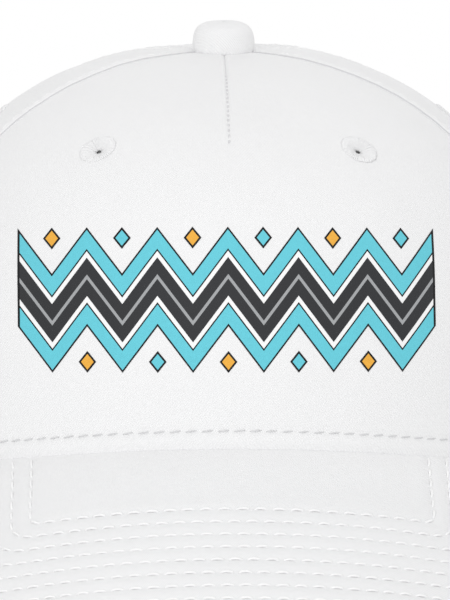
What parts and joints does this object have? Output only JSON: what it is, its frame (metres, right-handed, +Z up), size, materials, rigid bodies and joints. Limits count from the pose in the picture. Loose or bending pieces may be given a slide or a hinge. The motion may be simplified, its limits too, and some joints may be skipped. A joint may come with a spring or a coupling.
{
  "type": "baseball cap",
  "caption": "Six-panel cloth baseball cap with a curved visor, a button on top, sewn eyelets, a sweatband and a strap with a flip clasp at the back.",
  "frame": {"origin": "point on the button's axis at the level of the crown's lowest edge, in the head opening", "axes": "+X to the wearer's left, +Y to the back of the cap, +Z up as the cap stands on a table"},
  "size_m": [0.1788, 0.258, 0.1244],
  "materials": {
    "crown_twill": "white brushed cotton twill",
    "visor_twill": "white cotton twill over a stiff board, stitched in rows",
    "eyelet_thread": "white satin stitch",
    "stiffener": "open-weave buckram",
    "seam_tape": "folded cotton tape",
    "sweatband": "folded cotton twill",
    "clasp_metal": "satin nickel plate"
  },
  "bodies": {
    "cap": {"front_panel_left": "crown_twill", "front_panel_right": "crown_twill", "side_panel_left": "crown_twill", "side_panel_right": "crown_twill", "rear_panel_left": "crown_twill", "rear_panel_right": "crown_twill", "crown_button": "crown_twill", "button_rivet": "clasp_metal", "closure_strap": "crown_twill", "clasp_tab": "crown_twill", "visor_top_cover": "visor_twill", "visor_under_cover": "visor_twill", "front_eyelet_left": "eyelet_thread", "front_eyelet_right": "eyelet_thread", "side_eyelet_left": "eyelet_thread", "side_eyelet_right": "eyelet_thread", "rear_eyelet_left": "eyelet_thread", "rear_eyelet_right": "eyelet_thread", "front_stiffener_left": "stiffener", "front_stiffener_right": "stiffener", "front_seam_tape": "seam_tape", "front_side_seam_tape_left": "seam_tape", "front_side_seam_tape_right": "seam_tape", "side_rear_seam_tape_left": "seam_tape", "side_rear_seam_tape_right": "seam_tape", "rear_seam_tape": "seam_tape", "rear_arch_binding": "seam_tape", "sweatband": "sweatband", "clasp_base": "clasp_metal", "clasp_pin": "clasp_metal"},
    "lever": {"clasp_lever": "clasp_metal"}
  },
  "joints": [
    {"name": "clasp_hinge", "type": "hinge", "parent": "cap", "child": "lever", "pos_m": [-0.00693, 0.09993, 0.00843], "axis": [-0.008, -0.0675, -0.9977], "range_deg": [0, 105]}
  ]
}
